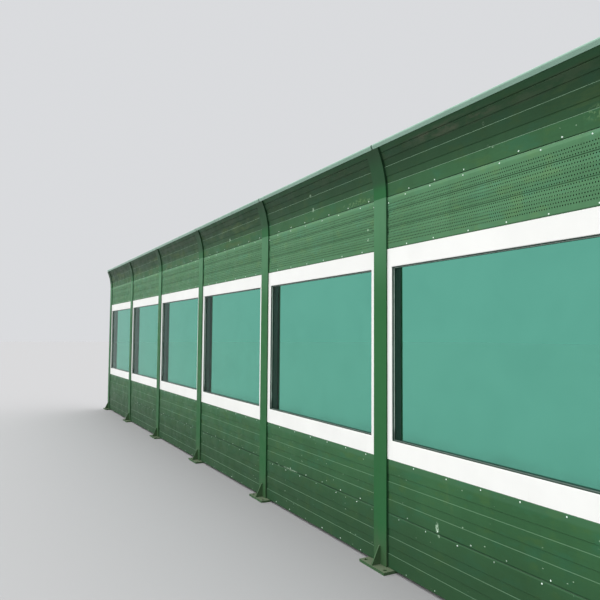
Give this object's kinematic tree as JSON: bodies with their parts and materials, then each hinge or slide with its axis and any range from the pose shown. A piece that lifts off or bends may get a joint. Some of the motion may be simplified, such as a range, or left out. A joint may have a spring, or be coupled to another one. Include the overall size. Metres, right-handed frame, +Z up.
{
  "type": "highway noise barrier",
  "caption": "Roadside noise barrier in bays: H-section posts carry stacked ribbed metal cassettes, a framed clear window and a curved top panel under a rounded cap.",
  "frame": {"origin": "under the middle post (post_4), on the underside of its base plate, at the plate's centre", "axes": "+X along the wall, +Y away from the road, +Z up; the side with the ribs faces the road, towards -Y"},
  "size_m": [12.3, 0.3046, 3.0696],
  "materials": {
    "post_paint": "satin",
    "panel_paint": "satin",
    "frame_white": "satin",
    "cap_paint": "gloss",
    "tinted_sheet": "clear, green tint",
    "gasket": "matte",
    "bead_grey": "satin",
    "rivet_metal": "mill",
    "packing": "matte"
  },
  "bodies": {
    "root": {"post_1": "post_paint", "post_2": "post_paint", "post_3": "post_paint", "post_4": "post_paint", "post_5": "post_paint", "post_6": "post_paint", "post_7": "post_paint", "lower_panel_1": "panel_paint", "lower_panel_2": "panel_paint", "lower_panel_3": "panel_paint", "lower_panel_4": "panel_paint", "lower_panel_5": "panel_paint", "lower_panel_6": "panel_paint", "middle_panel_1": "panel_paint", "middle_panel_2": "panel_paint", "middle_panel_3": "panel_paint", "middle_panel_4": "panel_paint", "middle_panel_5": "panel_paint", "middle_panel_6": "panel_paint", "window_frame_1": "frame_white", "window_frame_2": "frame_white", "window_frame_3": "frame_white", "window_frame_4": "frame_white", "window_frame_5": "frame_white", "window_frame_6": "frame_white", "perforated_panel_1": "panel_paint", "perforated_panel_2": "panel_paint", "perforated_panel_3": "panel_paint", "perforated_panel_4": "panel_paint", "perforated_panel_5": "panel_paint", "perforated_panel_6": "panel_paint", "curved_panel_1": "panel_paint", "curved_panel_2": "panel_paint", "curved_panel_3": "panel_paint", "curved_panel_4": "panel_paint", "curved_panel_5": "panel_paint", "curved_panel_6": "panel_paint", "top_cap_1": "cap_paint", "top_cap_2": "cap_paint", "top_cap_3": "cap_paint", "top_cap_4": "cap_paint", "top_cap_5": "cap_paint", "top_cap_6": "cap_paint", "window_sheets": "tinted_sheet", "window_gaskets": "gasket", "glazing_beads": "bead_grey", "packing_strips": "packing"}
  },
  "joints": []
}
